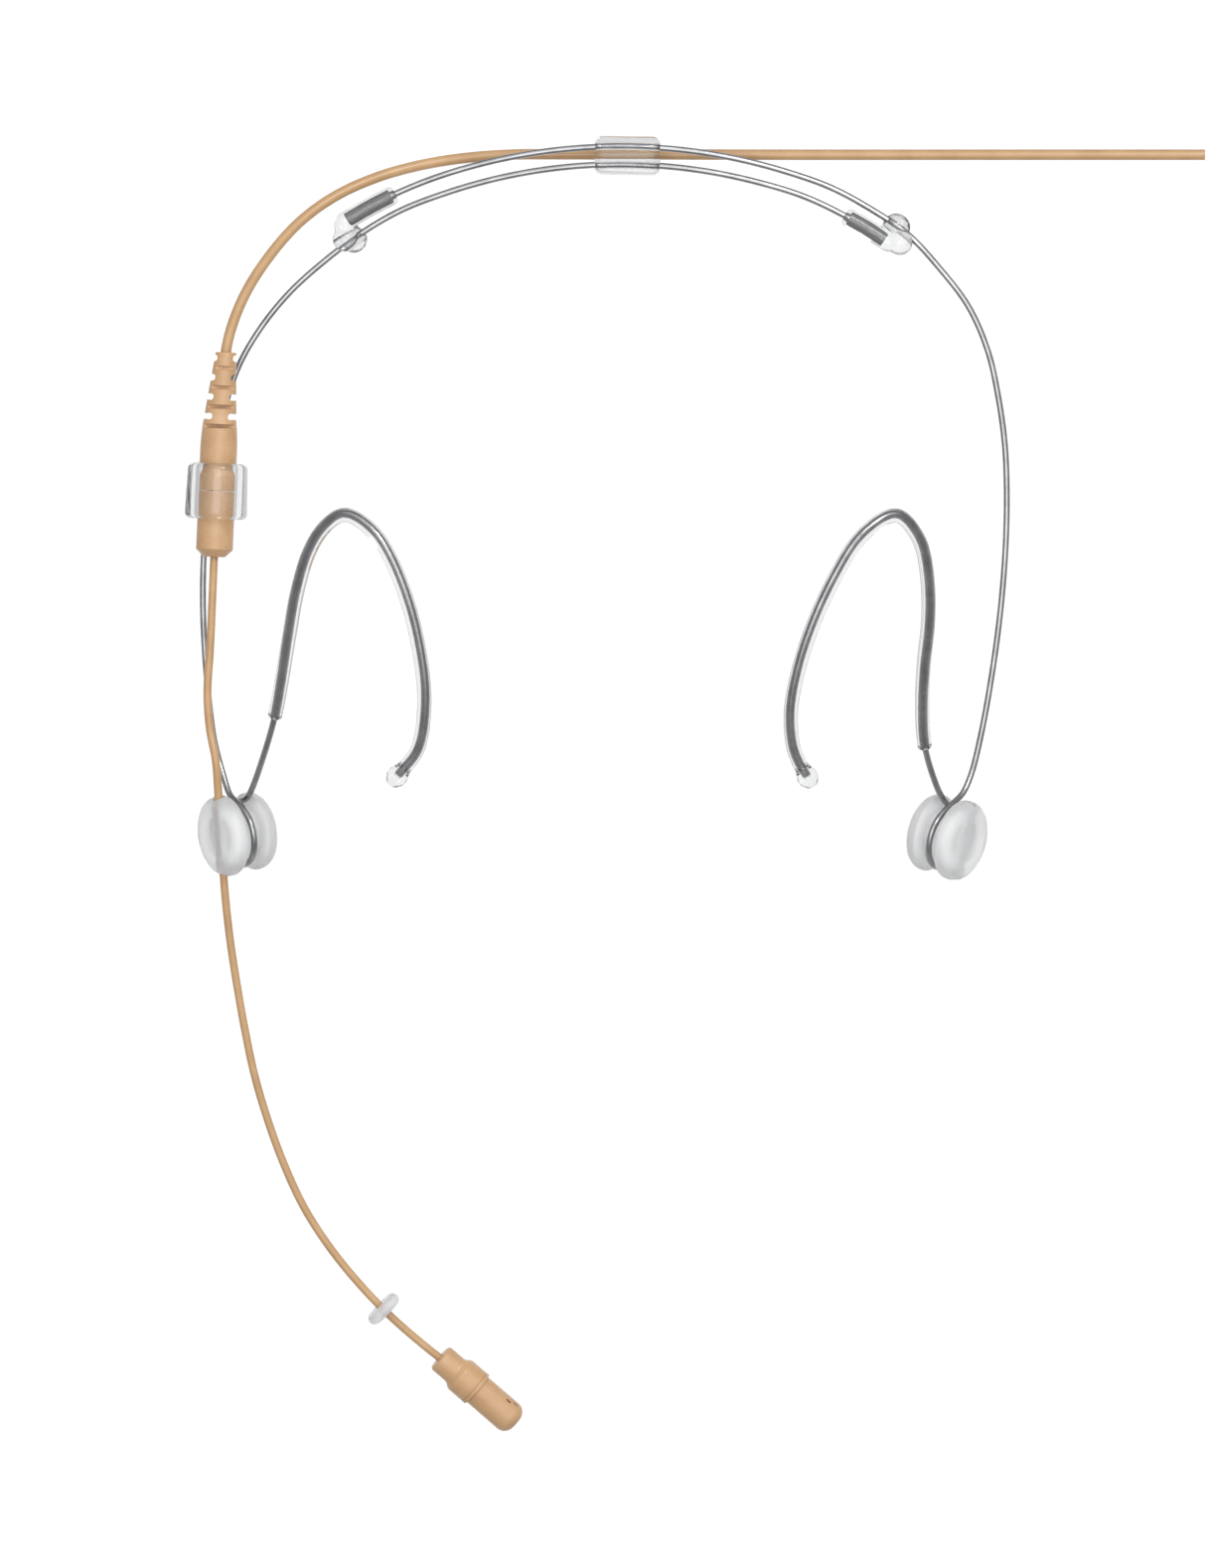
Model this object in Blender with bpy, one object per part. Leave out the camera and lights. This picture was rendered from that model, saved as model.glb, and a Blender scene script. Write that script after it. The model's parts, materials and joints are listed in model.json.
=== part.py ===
"""A behind-the-head headset microphone.

Two spring wires cross over behind the head. Each one ends in a slider that rides on the other wire, and
carries a cheek pad and an ear hook at its far end. The boom runs through the pad on its own side, and its
lead plugs into a cable that is clipped along the band.

Axes: +X towards the side with no boom, +Y towards the back of the head, +Z up. The origin is midway between
the two cheek pads. Lengths below are in metres; MM turns millimetres into metres.
"""

import math

import bmesh
import bpy
from mathutils import Matrix, Vector

MM = 0.001
FULL_TURN = 2 * math.pi

# Spring wires
WIRE_R = 0.5 * MM
WIRE_SIDES = 8
BAND_CENTRE = Vector((4.25, 20.0, -1.6)) * MM
INNER_BAND_R = 84.6 * MM
OUTER_BAND_R = 87.4 * MM
BAND_Z = BAND_CENTRE.z
LOOP_R = 5.0 * MM
LOOP_PITCH = 1.3 * MM
LOOP_ENTRY = math.radians(40)

# Cheek pads: local +Z is the pad's outer face, away from the head
PAD_R = 6.2 * MM
PAD_INNER_FACE = -3.9 * MM
PAD_OUTER_FACE = 4.75 * MM
PAD_GROOVE_R = 4.2 * MM
PAD_GROOVE_HALF = 1.45 * MM
PAD_SIDES = 24
BOOM_LAYER = 3.4 * MM

# Ear tubes and hook tips
TUBE_R = 1.12 * MM
TUBE_BORE_R = 0.76 * MM
TIP_R = 1.7 * MM

# Crimps, sliders and the clip at the middle of the band
CRIMP_R = 0.8 * MM
CRIMP_BORE_R = 0.63 * MM
BARREL_R = 1.3 * MM
BARREL_BORE_R = 0.95 * MM
BARREL_MOUTH = 1.6 * MM
BULB_SIZE = Vector((1.85, 1.85, 1.75)) * MM
GUIDE_SIZE = Vector((1.85, 2.15, 2.0)) * MM
GUIDE_BORE_R = 0.8 * MM
GUIDE_WIDE_R = 1.2 * MM
CLIP_SIZE = Vector((10.2, 6.0, 6.5)) * MM
CLIP_ANGLE = math.radians(0.8)

# Cable, boom and lead
CABLE_R = 0.83 * MM
CABLE_BORE_R = 0.6 * MM
CABLE_CORE_R = 0.42 * MM
CABLE_DROP = 3.3 * MM
BOOM_R = 0.65 * MM
BOOM_BORE_R = 0.42 * MM
BOOM_CORE_R = 0.25 * MM
BOOM_HOLE_R = 0.92 * MM
RING_R = 3.0 * MM
RING_HALF = 0.85 * MM

# In-line connector, measured up from the bottom of the plug
PLUG_R = 2.9 * MM
SLEEVE_R = 2.82 * MM
PLUG_STEP = 6.2 * MM
PARTING = 10.2 * MM
SOCKET_TOP = 13.7 * MM
CONTACT_CIRCLE_R = 0.75 * MM
RELIEF_BOTTOM = 13.95 * MM
RELIEF_TOP = 31.8 * MM
HOLDER_R = 4.8 * MM
HOLDER_BORE_R = 3.05 * MM
HOLDER_SPAN = (5.9 * MM, 14.6 * MM)
HOLDER_LOBE = 1.3 * MM

SMALL_GAP = 0.15 * MM
MERGE = 1e-7


def mm(*rows):
    """Points given in millimetres, as vectors in metres."""
    return [Vector(row) * MM for row in rows]


# Directions and places that several pieces share
BOOM_PAD_AT = Vector((-55.0, 0.25, 0.0)) * MM
BOOM_PAD_AXIS = Vector((-0.85, -0.15, 0.5)).normalized()
PLAIN_PAD_AT = Vector((54.9, -0.2, 0.0)) * MM
PLAIN_PAD_AXIS = Vector((0.82, -0.24, 0.5)).normalized()
CONNECTOR_AT = Vector((-59.0, 43.3, 2.7)) * MM
CONNECTOR_AXIS = Vector((0.042, 1.0, 0.0)).normalized()
BOOM_HOLE_AT = BOOM_PAD_AT + BOOM_PAD_AXIS * BOOM_LAYER
BOOM_AXIS = Vector((0.0686, -0.9976, -0.1827)).normalized()
MIC_AT = Vector((-23.9, -81.8, -10.8)) * MM
MIC_AXIS = Vector((0.755, -0.655, -0.1)).normalized()
RING_AT = Vector((-32.7, -74.2, -9.95)) * MM
RING_AXIS = Vector((0.72, -0.69, -0.11)).normalized()

MATERIALS = {
    "spring_steel": ((0.62, 0.62, 0.63), 0.25, 1.0),
    "crimp_steel": ((0.42, 0.42, 0.43), 0.45, 1.0),
    "clear_silicone": ((0.90, 0.91, 0.92), 0.15, 0.0),
    "tan_plastic": ((0.80, 0.58, 0.38), 0.45, 0.0),
    "tan_jacket": ((0.80, 0.57, 0.34), 0.40, 0.0),
    "contact_brass": ((0.80, 0.62, 0.30), 0.30, 1.0),
    "insulator": ((0.85, 0.84, 0.80), 0.50, 0.0),
    "capsule_metal": ((0.70, 0.70, 0.70), 0.35, 1.0),
    "screen_black": ((0.05, 0.05, 0.05), 0.80, 0.0),
}


# ---------------------------------------------------------------- objects and placing


def material(name):
    """The material of that name, made the first time it is asked for."""
    found = bpy.data.materials.get(name)
    if found:
        return found
    colour, roughness, metallic = MATERIALS[name]
    made = bpy.data.materials.new(name)
    made.use_nodes = True
    shader = made.node_tree.nodes["Principled BSDF"]
    shader.inputs["Base Color"].default_value = (*colour, 1.0)
    shader.inputs["Roughness"].default_value = roughness
    shader.inputs["Metallic"].default_value = metallic
    return made


def add_empty(name, at, axis):
    """An empty on a joint: its +Z lies along the joint's axis."""
    empty = bpy.data.objects.new(name, None)
    bpy.context.scene.collection.objects.link(empty)
    empty.matrix_world = Matrix.Translation(at) @ axis.to_track_quat("Z", "Y").to_matrix().to_4x4()
    return empty


def add_object(name, bm, finish, at=Vector(), axis=None, body=None):
    """A mesh object from bm, its local +Z along axis, riding on the empty body."""
    bmesh.ops.remove_doubles(bm, verts=bm.verts, dist=MERGE)
    bmesh.ops.recalc_face_normals(bm, faces=bm.faces)
    mesh = bpy.data.meshes.new(name)
    bm.to_mesh(mesh)
    bm.free()
    mesh.shade_smooth()
    mesh.set_sharp_from_angle(angle=math.radians(35))
    mesh.materials.append(material(finish))
    made = bpy.data.objects.new(name, mesh)
    bpy.context.scene.collection.objects.link(made)
    turn = axis.to_track_quat("Z", "Y").to_matrix().to_4x4() if axis else Matrix()
    made.matrix_world = Matrix.Translation(at) @ turn
    if body:
        bpy.context.view_layer.update()
        made.parent = body
        made.matrix_parent_inverse = body.matrix_world.inverted()
    return made


def cut(target, name, bm, at=Vector(), axis=None, operation="DIFFERENCE"):
    """Cuts bm out of target, or joins it to target, with a Boolean modifier."""
    tool = add_object(name, bm, "screen_black", at, axis)
    tool.hide_render = True
    tool.display_type = "WIRE"
    modifier = target.modifiers.new(name, "BOOLEAN")
    modifier.operation = operation
    modifier.solver = "EXACT"
    modifier.object = tool


# ---------------------------------------------------------------- mesh makers


def spin(profile, sides):
    """A turned solid about local Z, from the (radius, height) pairs round its half section."""
    bm = bmesh.new()
    verts = [bm.verts.new((radius, 0, height)) for radius, height in profile]
    edges = []
    for a, b in zip(verts, verts[1:] + verts[:1]):
        if a.co.x > 0 or b.co.x > 0:
            edges.append(bm.edges.new((a, b)))
    bmesh.ops.spin(
        bm,
        geom=verts + edges,
        cent=(0, 0, 0),
        axis=(0, 0, 1),
        angle=FULL_TURN,
        steps=sides,
        use_merge=True,
    )
    bmesh.ops.remove_doubles(bm, verts=bm.verts, dist=MERGE)
    return bm


def rod(radius, low, high, sides=12):
    """A plain cylinder about local Z."""
    return spin([(0, low), (radius, low), (radius, high), (0, high)], sides)


def tube(outer, inner, low, high, sides=12):
    """A plain tube about local Z."""
    return spin([(outer, low), (outer, high), (inner, high), (inner, low)], sides)


def ring_frames(points):
    """A (right, up) pair at each point of a path, carried along without twist."""
    frames = []
    up = Vector((0, 0, 1))
    last = len(points) - 1
    for i in range(len(points)):
        along = (points[min(i + 1, last)] - points[max(i - 1, 0)]).normalized()
        up = (up - along * up.dot(along)).normalized()
        frames.append((along.cross(up), up))
    return frames


def sweep(points, outer, sides, inner=0.0, squash=1.0):
    """A round bar along points, or a tube where inner is given. squash scales its thickness along +Z."""
    bm = bmesh.new()
    radii = [outer, inner] if inner else [outer]
    skins = []
    for radius in radii:
        rings = []
        for point, (right, up) in zip(points, ring_frames(points)):
            turns = [FULL_TURN * k / sides for k in range(sides)]
            offsets = [right * math.cos(a) + up * math.sin(a) * squash for a in turns]
            rings.append([bm.verts.new(point + offset * radius) for offset in offsets])
        skins.append(rings)
        for low, high in zip(rings, rings[1:]):
            for k in range(sides):
                bm.faces.new((low[k], low[k - 1], high[k - 1], high[k]))
    for end in (0, -1):
        if inner:
            for k in range(sides):
                wide, narrow = skins[0][end], skins[1][end]
                bm.faces.new((wide[k - 1], wide[k], narrow[k], narrow[k - 1]))
        else:
            bm.faces.new(skins[0][end])
    return bm


def loft(rings):
    """A closed solid through rings of points, with a flat cap at each end."""
    bm = bmesh.new()
    loops = [[bm.verts.new(point) for point in ring] for ring in rings]
    for low, high in zip(loops, loops[1:]):
        for k in range(len(low)):
            bm.faces.new((low[k - 1], low[k], high[k], high[k - 1]))
    bm.faces.new(loops[0])
    bm.faces.new(loops[-1])
    return bm


def boxes(spans):
    """Axis-aligned boxes, each given by its lowest and highest corner."""
    bm = bmesh.new()
    for low, high in spans:
        low, high = Vector(low), Vector(high)
        size = Matrix.Diagonal((*(high - low), 1.0))
        bmesh.ops.create_cube(bm, size=1.0, matrix=Matrix.Translation((low + high) / 2) @ size)
    return bm


def ball(scale, sides=14, rings=10):
    """An ellipsoid with the half sizes in scale."""
    bm = bmesh.new()
    bmesh.ops.create_uvsphere(
        bm, u_segments=sides, v_segments=rings, radius=1.0, matrix=Matrix.Diagonal((*scale, 1.0))
    )
    return bm


# ---------------------------------------------------------------- paths


def on_band(radius, angle, z=BAND_Z):
    """A point of the band at that angle from straight back, positive towards +X."""
    x = BAND_CENTRE.x + radius * math.sin(angle)
    y = BAND_CENTRE.y + radius * math.cos(angle)
    return Vector((x, y, z))


def band_arc(radius, start, end, step=4.0, z=BAND_Z):
    """Points along the band between two angles in degrees."""
    count = max(2, math.ceil(abs(end - start) / step) + 1)
    angles = [start + (end - start) * i / (count - 1) for i in range(count)]
    return [on_band(radius, math.radians(angle), z) for angle in angles]


def smooth(points, per_span=24):
    """A dense centripetal Catmull-Rom line through points."""
    first = points[0] * 2 - points[1]
    last = points[-1] * 2 - points[-2]
    ctrl = [first, *points, last]
    line = []
    for a, b, c, d in zip(ctrl, ctrl[1:], ctrl[2:], ctrl[3:]):
        knots = [0.0]
        for p, q in ((a, b), (b, c), (c, d)):
            knots.append(knots[-1] + math.sqrt((q - p).length))
        for i in range(per_span):
            line.append(spline_point((a, b, c, d), knots, i / per_span))
    return [*line, points[-1]]


def spline_point(ctrl, knots, share):
    """The point that share of the way from the second of four control points to the third."""
    a, b, c, d = ctrl
    k0, k1, k2, k3 = knots
    t = k1 + (k2 - k1) * share
    ab = a.lerp(b, (t - k0) / (k1 - k0))
    bc = b.lerp(c, (t - k1) / (k2 - k1))
    cd = c.lerp(d, (t - k2) / (k3 - k2))
    abc = ab.lerp(bc, (t - k0) / (k2 - k0))
    bcd = bc.lerp(cd, (t - k1) / (k3 - k1))
    return abc.lerp(bcd, share)


def thin_out(line, most_turn=math.radians(15), longest=7 * MM):
    """Keeps only the points a smooth-looking bar needs: few on straights, more in bends."""
    kept = [line[0]]
    run, turn = 0.0, 0.0
    for before, here, after in zip(line, line[1:], line[2:]):
        run += (here - before).length
        turn += (here - before).angle(after - here, 0.0)
        if run > longest or turn > most_turn:
            kept.append(here)
            run, turn = 0.0, 0.0
    return [*kept, line[-1]]


def path(points, **limits):
    return thin_out(smooth(points), **limits)


def nearest_index(line, target):
    return min(range(len(line)), key=lambda i: (line[i] - target).length)


def pad_loop(at, axis, steps=12):
    """The wire's turn round a pad's groove: in at the outer side, round the front, out at the head side."""
    up = (Vector((0, 1, 0)) - axis * axis.y).normalized()
    front = axis.cross(up)
    if front.z < 0:
        front = -front
    points = []
    for i in range(steps + 1):
        share = i / steps
        angle = LOOP_ENTRY + (FULL_TURN - LOOP_ENTRY) * share
        offset = axis * LOOP_PITCH * (0.5 - share)
        points.append(at + (up * math.cos(angle) + front * math.sin(angle)) * LOOP_R + offset)
    return points


BOOM_CRIMP = [on_band(r * MM, math.radians(a)) for r, a in ((84.2, 25.2), (84.0, 27.4), (83.7, 29.6))]
BOOM_WIRE_BAND = [
    *reversed(BOOM_CRIMP),
    *band_arc(INNER_BAND_R, 20.5, -24.5),
    *[on_band(r * MM, math.radians(a)) for r, a in ((84.2, -28.2), (83.7, -31.7))],
]
BOOM_WIRE_SIDE = mm(
    (-48.2, 83.6, -1.6),
    (-55.3, 73.0, -1.6),
    (-59.4, 56.5, -1.6),
    (-60.8, 40.3, -1.6),
    (-60.3, 25.5, -1.6),
    (-58.8, 13.4, -1.2),
    (-57.55, 9.0, -0.35),
    (-56.6, 6.3, 0.6),
)
BOOM_HOOK = mm(
    (-53.9, 5.75, 2.1),
    (-53.0, 7.3, 3.9),
    (-51.9, 10.5, 6.4),
    (-50.1, 15.5, 9.6),
    (-47.9, 26.5, 15.4),
    (-46.0, 37.5, 21.2),
    (-42.7, 46.4, 26.6),
    (-38.4, 49.7, 29.6),
    (-33.4, 46.5, 31.3),
    (-28.9, 37.4, 31.2),
    (-26.4, 27.0, 29.4),
    (-25.95, 18.6, 27.0),
    (-27.3, 12.8, 24.6),
    (-30.1, 9.3, 23.0),
)
BOOM_TUBE_START = BOOM_HOOK[3]

PLAIN_CRIMP = [on_band(r * MM, math.radians(a)) for r, a in ((87.3, -24.2), (87.15, -26.7), (87.0, -29.3))]
PLAIN_WIRE_BAND = [
    *reversed(PLAIN_CRIMP),
    *band_arc(OUTER_BAND_R, -20.0, 22.5),
    *[on_band(r * MM, math.radians(a)) for r, a in ((86.9, 27.2), (86.35, 31.2))],
]
PLAIN_WIRE_SIDE = mm(
    (53.4, 89.3, -1.6),
    (60.2, 79.6, -1.6),
    (64.0, 64.0, -1.6),
    (64.6, 48.5, -1.6),
    (63.2, 31.0, -1.6),
    (60.3, 14.0, -1.2),
    (59.0, 9.2, -0.6),
    (57.7, 6.4, 0.4),
)
PLAIN_HOOK = mm(
    (54.6, 5.75, 1.9),
    (53.7, 7.3, 3.6),
    (52.7, 10.9, 6.2),
    (51.5, 14.8, 8.8),
    (51.5, 25.0, 14.6),
    (52.3, 36.0, 20.6),
    (50.8, 45.6, 26.2),
    (47.0, 49.6, 29.4),
    (41.7, 46.5, 31.2),
    (36.0, 37.2, 31.2),
    (32.0, 26.6, 29.4),
    (30.6, 18.6, 27.0),
    (31.3, 12.8, 24.6),
    (33.2, 9.2, 23.0),
)
PLAIN_TUBE_START = PLAIN_HOOK[3]

LEAD_START = CONNECTOR_AT + CONNECTOR_AXIS * 0.6 * MM
LEAD_PATH = [
    LEAD_START,
    CONNECTOR_AT - CONNECTOR_AXIS * 12 * MM,
    CONNECTOR_AT - CONNECTOR_AXIS * 24 * MM,
    BOOM_HOLE_AT - BOOM_AXIS * 12 * MM,
    BOOM_HOLE_AT - BOOM_AXIS * 6.7 * MM,
]
BOOM_PATH = [
    BOOM_HOLE_AT - BOOM_AXIS * 5.9 * MM,
    BOOM_HOLE_AT + BOOM_AXIS * 12 * MM,
    *mm(
        (-55.3, -24.8, -2.9),
        (-52.1, -40.3, -5.5),
        (-46.4, -55.8, -7.7),
        (-41.8, -63.6, -8.8),
        (-35.6, -71.3, -9.7),
        (-29.3, -77.5, -10.4),
    ),
    MIC_AT + MIC_AXIS * 1.8 * MM,
]
RELIEF_LEAN = 0.5 * MM


def relief_point(height):
    """The axis of the strain relief, whose upper part leans towards +X with the cable."""
    share = max(0.0, (height - PARTING * 2) / (RELIEF_TOP - PARTING * 2))
    return CONNECTOR_AT + CONNECTOR_AXIS * height + Vector((RELIEF_LEAN * share**2, 0, 0))


CABLE_Z = BAND_Z - CABLE_DROP
CABLE_PATH = [
    relief_point(20.0 * MM),
    relief_point(26.0 * MM),
    relief_point(31.5 * MM),
    *mm((-56.3, 79.1, 2.6), (-53.6, 85.3, 2.2), (-46.7, 94.6, 0.6), (-38.2, 100.7, -1.6), (-26.6, 104.6, -3.9)),
    Vector((-15.0 * MM, 106.1 * MM, CABLE_Z)),
    Vector((0.0, 106.25 * MM, CABLE_Z)),
    Vector((30.0 * MM, 106.2 * MM, CABLE_Z)),
    Vector((62.0 * MM, 106.2 * MM, CABLE_Z)),
    Vector((95.7 * MM, 106.2 * MM, CABLE_Z)),
]


# ---------------------------------------------------------------- frame


def frame_side(prefix, band, side, at, axis, hook, tube_start, body):
    """One spring wire with its ear tube and hook tip."""
    line = path([*band, *side, *pad_loop(at, axis), *hook])
    add_object(f"{prefix}_wire", sweep(line, WIRE_R, WIRE_SIDES), "spring_steel", body=body)
    start = nearest_index(line, tube_start)
    tip_axis = (line[-1] - line[-2]).normalized()
    tip_at = line[-1] + tip_axis * 0.3 * MM
    covered = line[start:-1]
    covered[-1] = tip_at - tip_axis * (TIP_R + SMALL_GAP)
    add_object(f"{prefix}_ear_tube", sweep(covered, TUBE_R, 10, TUBE_BORE_R), "clear_silicone", body=body)
    arc = [math.radians(a) for a in (-66, -40, -10, 20, 50, 72)]
    profile = [(TIP_R * math.cos(a), TIP_R * math.sin(a)) for a in arc]
    bore = CRIMP_BORE_R + 0.05 * MM
    blind = [(0, TIP_R), *reversed(profile), (bore, profile[0][1]), (bore, 0.8 * MM), (0, 0.8 * MM)]
    add_object(f"{prefix}_hook_tip", spin(blind, 14), "clear_silicone", tip_at, tip_axis, body)


def slider(name, crimp, bulb, guide, body):
    """A clear slider: a barrel over the crimp at one wire's end, and a guide that rides on the other wire.

    bulb and guide are (radius, degrees) on the band; the other wire passes through the guide."""
    along = (crimp[-1] - crimp[0]).normalized()
    barrel = [crimp[0] - along * 0.45 * MM, *crimp[1:-1], crimp[-1] + along * BARREL_MOUTH]
    made = add_object(f"{name}_slider", sweep(barrel, BARREL_R, 12), "clear_silicone", body=body)
    turns = math.radians(guide[1])
    bulb_at = on_band(bulb[0] * MM, math.radians(bulb[1]))
    guide_at = on_band(guide[0] * MM, turns)
    guide_axis = Vector((math.cos(turns), -math.sin(turns), 0))
    cut(made, f"{name}_bulb", ball(BULB_SIZE), bulb_at, along, "UNION")
    cut(made, f"{name}_guide", ball(GUIDE_SIZE), guide_at, guide_axis, "UNION")
    channel = [crimp[0] - along * 3 * MM, *crimp[:-1], crimp[-1] + along * 0.15 * MM]
    cut(made, f"{name}_channel", sweep(channel, BARREL_BORE_R, 10))
    passing = [on_band(guide[0] * MM, turns + math.radians(a)) for a in (-3, -1, 1, 3)]
    cut(made, f"{name}_passing", sweep(passing, GUIDE_WIDE_R, 12, squash=GUIDE_BORE_R / GUIDE_WIDE_R))
    crimp_tube = sweep(crimp, CRIMP_R, 8, CRIMP_BORE_R)
    add_object(f"{name}_crimp", crimp_tube, "crimp_steel", body=body)


def band_clip(body):
    """The clear clip that holds both wires and the cable together behind the head."""
    middle_r = (INNER_BAND_R + OUTER_BAND_R) / 2
    at = on_band(middle_r, CLIP_ANGLE, BAND_Z - 1.85 * MM)
    half = CLIP_SIZE / 2
    bm = boxes([(-half, half)])
    bmesh.ops.rotate(bm, verts=bm.verts, matrix=Matrix.Rotation(-CLIP_ANGLE, 3, "Z"))
    made = add_object("band_clip", bm, "clear_silicone", at, body=body)
    bevel = made.modifiers.new("rounded_edges", "BEVEL")
    bevel.width = 1.0 * MM
    bevel.segments = 2
    spread = 5.0
    centre = math.degrees(CLIP_ANGLE)
    for name, radius in (("inner", INNER_BAND_R), ("outer", OUTER_BAND_R)):
        line = band_arc(radius, centre - spread, centre + spread, step=2.5)
        cut(made, f"clip_{name}_bore", sweep(line, GUIDE_BORE_R, 12))
    ends = [Vector((at.x + dx * MM, 106.2 * MM, CABLE_Z)) for dx in (-8, 8)]
    bore = sweep(ends, 1.55 * MM, 12, squash=0.72)
    cut(made, "clip_cable_bore", bore)


def cheek_pad(name, at, axis, across, body):
    """A clear spool: the wire turns round its groove, and a boom can cross its outer flange."""
    rim = 0.75 * MM
    low, high, groove = PAD_INNER_FACE, PAD_OUTER_FACE, PAD_GROOVE_HALF
    profile = [
        (0, low),
        (PAD_R - rim * 1.6, low),
        (PAD_R - rim * 0.4, low + rim * 0.4),
        (PAD_R, low + rim * 1.2),
        (PAD_R, -groove - rim),
        (PAD_R - rim * 0.7, -groove),
        (PAD_GROOVE_R, -groove),
        (PAD_GROOVE_R, groove),
        (PAD_R - rim * 0.7, groove),
        (PAD_R, groove + rim),
        (PAD_R, high - rim * 1.4),
        (PAD_R - rim * 0.5, high - rim * 0.4),
        (PAD_R - rim * 1.8, high),
        (0, high),
    ]
    made = add_object(name, spin(profile, PAD_SIDES), "clear_silicone", at, axis, body)
    reach = PAD_R * 1.3
    cut(made, f"{name}_bore", rod(BOOM_HOLE_R, -reach, reach), at + axis * BOOM_LAYER, across)


# ---------------------------------------------------------------- boom and capsule


def boom(body):
    line = path(BOOM_PATH)
    add_object("boom_sheath", sweep(line, BOOM_R, 10, BOOM_BORE_R), "tan_jacket", body=body)
    core = [line[0].lerp(line[1], 0.1), *line[1:-1], line[-1].lerp(line[-2], 0.1)]
    add_object("boom_core_wire", sweep(core, BOOM_CORE_R, 6), "spring_steel", body=body)


def lead(body):
    add_object("boom_lead", sweep(path(LEAD_PATH), BOOM_R, 10), "tan_jacket", body=body)


def drip_ring(body):
    """The clear ring that stops sweat running down the boom to the capsule."""
    bore, rim = BOOM_R + 0.25 * MM, 0.5 * MM
    profile = [
        (bore, -RING_HALF),
        (RING_R - rim * 1.6, -RING_HALF),
        (RING_R - rim * 0.4, -RING_HALF + rim * 0.5),
        (RING_R, 0),
        (RING_R - rim * 0.4, RING_HALF - rim * 0.5),
        (RING_R - rim * 1.6, RING_HALF),
        (bore, RING_HALF),
    ]
    add_object("drip_ring", spin(profile, 20), "clear_silicone", RING_AT, RING_AXIS, body)


def microphone(boom_body, cap_body):
    """The capsule in its boot, with heights in millimetres from the boot's rear face."""

    def turned(name, finish, rows, sides=20, body=boom_body):
        profile = [(radius * MM, height * MM) for radius, height in rows]
        return add_object(name, spin(profile, sides), finish, MIC_AT, MIC_AXIS, body)

    boot = [(0.85, 0), (1.85, 0), (2.28, 0.45), (2.28, 3.3), (2.9, 4.1), (2.93, 7.2)]
    boot += [(2.72, 7.2), (2.72, 5.8), (2.3, 5.8), (2.3, 4.3), (0.85, 2.4)]
    turned("mic_boot", "tan_plastic", boot)
    cap = [(2.56, 6.1), (2.56, 14.3), (2.42, 14.9), (2.0, 15.4), (1.2, 15.8), (0, 15.95)]
    cap += [(0, 15.4), (1.1, 15.3), (1.8, 14.95), (2.24, 14.2), (2.24, 6.1)]
    made = turned("mic_cap", "tan_plastic", cap, 24, cap_body)
    port_out = Vector((0.655, 0.755, 0.36)).normalized()
    port_out = (port_out - MIC_AXIS * port_out.dot(MIC_AXIS)).normalized()
    for name, height in (("lower_port", 13.0), ("upper_port", 14.1)):
        at = MIC_AT + MIC_AXIS * height * MM
        cut(made, name, rod(0.3 * MM, 0, 4 * MM, 8), at, port_out)
    can = [(2.05, 4.6), (2.05, 14.0), (0.9, 14.0), (0.9, 13.7), (1.8, 13.7), (1.8, 4.6)]
    turned("capsule_can", "capsule_metal", can)
    turned("capsule_diaphragm", "capsule_metal", [(0, 13.2), (1.6, 13.2), (1.6, 13.35), (0, 13.35)], 16)
    turned("capsule_backplate", "contact_brass", [(0, 12.4), (1.6, 12.4), (1.6, 12.9), (0, 12.9)], 16)
    turned("capsule_board", "insulator", [(0, 5.4), (1.6, 5.4), (1.6, 5.9), (0, 5.9)], 16)
    screen = [(0, 14.3), (1.8, 14.3), (1.8, 14.5), (0, 14.5)]
    turned("cap_screen", "screen_black", screen, 16, cap_body)


# ---------------------------------------------------------------- connector and cable


def contact_places():
    """The three places on the contact circle, as offsets from the connector's axis."""
    turn = CONNECTOR_AXIS.to_track_quat("Z", "Y")
    angles = [FULL_TURN * k / 3 for k in range(3)]
    return [turn @ Vector((math.cos(a), math.sin(a), 0)) * CONTACT_CIRCLE_R for a in angles]


def insulator(name, low, high, hole_r, body):
    """A disc with a hole for each contact."""
    made = add_object(name, rod(1.75 * MM, low, high, 16), "insulator", CONNECTOR_AT, CONNECTOR_AXIS, body)
    for k, offset in enumerate(contact_places()):
        drill = rod(hole_r, low - MM, high + MM, 8)
        cut(made, f"{name}_hole_{k + 1}", drill, CONNECTOR_AT + offset, CONNECTOR_AXIS)


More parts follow.
